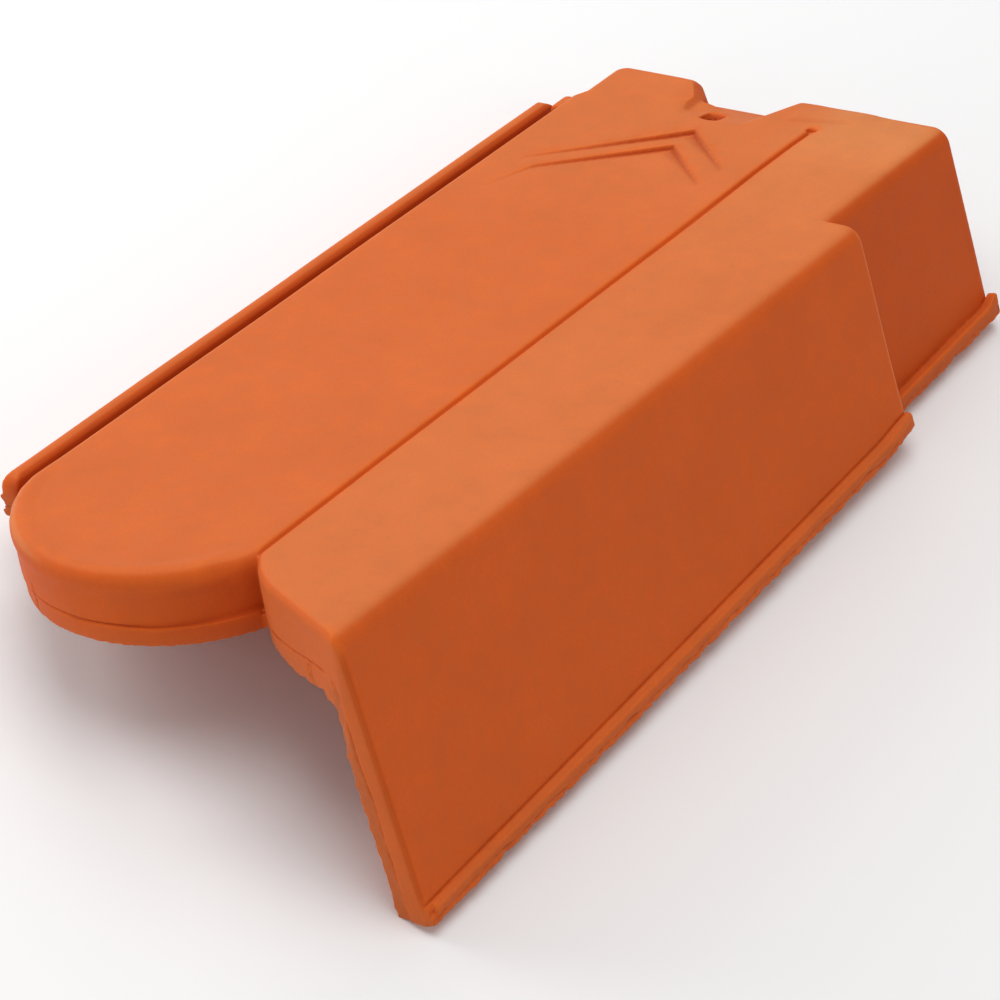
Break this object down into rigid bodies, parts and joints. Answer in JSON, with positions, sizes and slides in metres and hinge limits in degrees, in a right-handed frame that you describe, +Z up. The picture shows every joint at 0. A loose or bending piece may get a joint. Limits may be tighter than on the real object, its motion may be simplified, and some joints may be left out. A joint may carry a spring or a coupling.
{
  "type": "verge tile",
  "caption": "right-hand verge tile in red fired clay: flat plate with a rounded tail, side lock on the left, deep stepped side wall on the right",
  "frame": {"origin": "centre of the part's box on the floor it lies on", "axes": "+Z up, +Y along the tile from its rounded tail to its head, +X across the tile towards the verge wall"},
  "size_m": [0.288, 0.4948, 0.1268],
  "materials": {
    "fired_clay": "matte natural red fired clay, unglazed, pressed"
  },
  "bodies": {
    "root": {"verge_tile": "fired_clay"}
  },
  "joints": []
}
